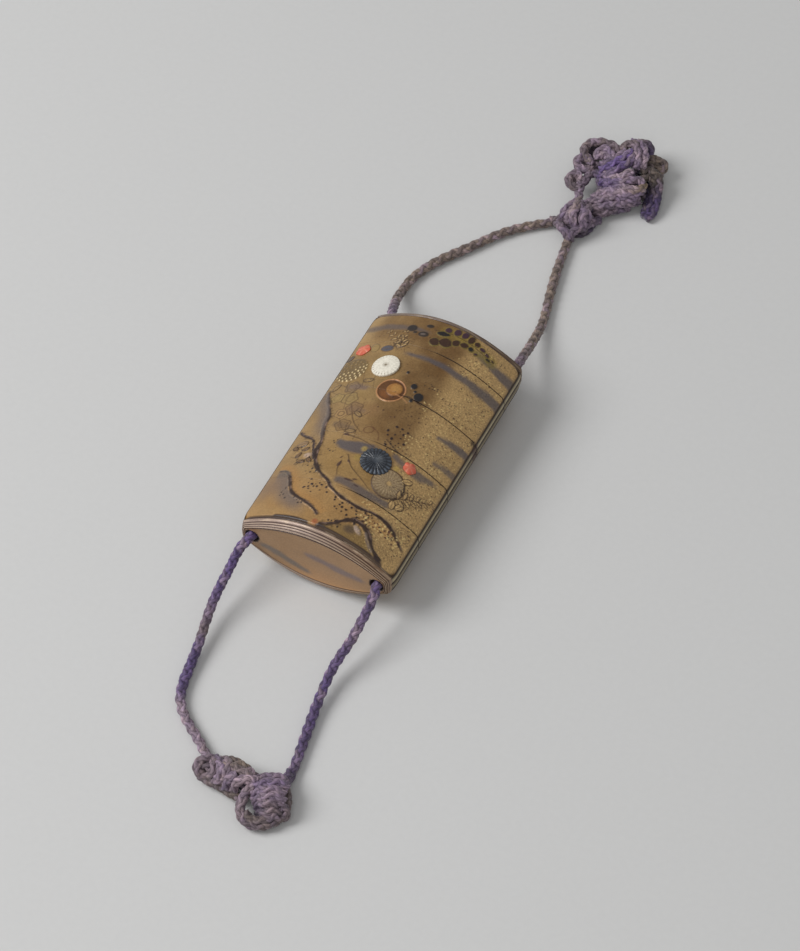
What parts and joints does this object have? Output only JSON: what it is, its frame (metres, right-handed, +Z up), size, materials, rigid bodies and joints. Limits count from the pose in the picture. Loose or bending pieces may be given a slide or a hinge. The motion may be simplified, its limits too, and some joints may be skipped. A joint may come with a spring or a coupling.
{
  "type": "inro case",
  "caption": "Stacked lens-section case with a lift-off lid, decorated front, reeded end mouldings, and a braided cord at each side tied in a knot at both ends.",
  "frame": {"origin": "middle of the case's footprint, on the surface that its back lies on", "axes": "+X across the case, +Y along it from the bottom end to the lid, +Z up out of the decorated front"},
  "size_m": [0.0519, 0.2438, 0.0237],
  "materials": {
    "gold_lacquer": "lacquered wood sprinkled with gold, polished, worn soft at the edges",
    "white_inlay": "carved white inlay, satin",
    "dark_inlay": "carved blue-black inlay, satin",
    "coral_inlay": "polished coral red inlay",
    "silk_cord": "braided silk, faded purple"
  },
  "bodies": {
    "root": {"lid": "gold_lacquer", "case_1": "gold_lacquer", "case_2": "gold_lacquer", "case_3": "gold_lacquer", "case_4": "gold_lacquer", "white_flower": "white_inlay", "dark_flower": "dark_inlay", "coral_bud_upper": "coral_inlay", "coral_bud_lower": "coral_inlay", "cord_lower_left": "silk_cord", "cord_lower_right": "silk_cord", "cord_upper_left": "silk_cord", "cord_upper_right": "silk_cord", "cord_left_inside": "silk_cord", "cord_right_inside": "silk_cord", "lower_knot": "silk_cord", "upper_knot": "silk_cord"}
  },
  "joints": []
}
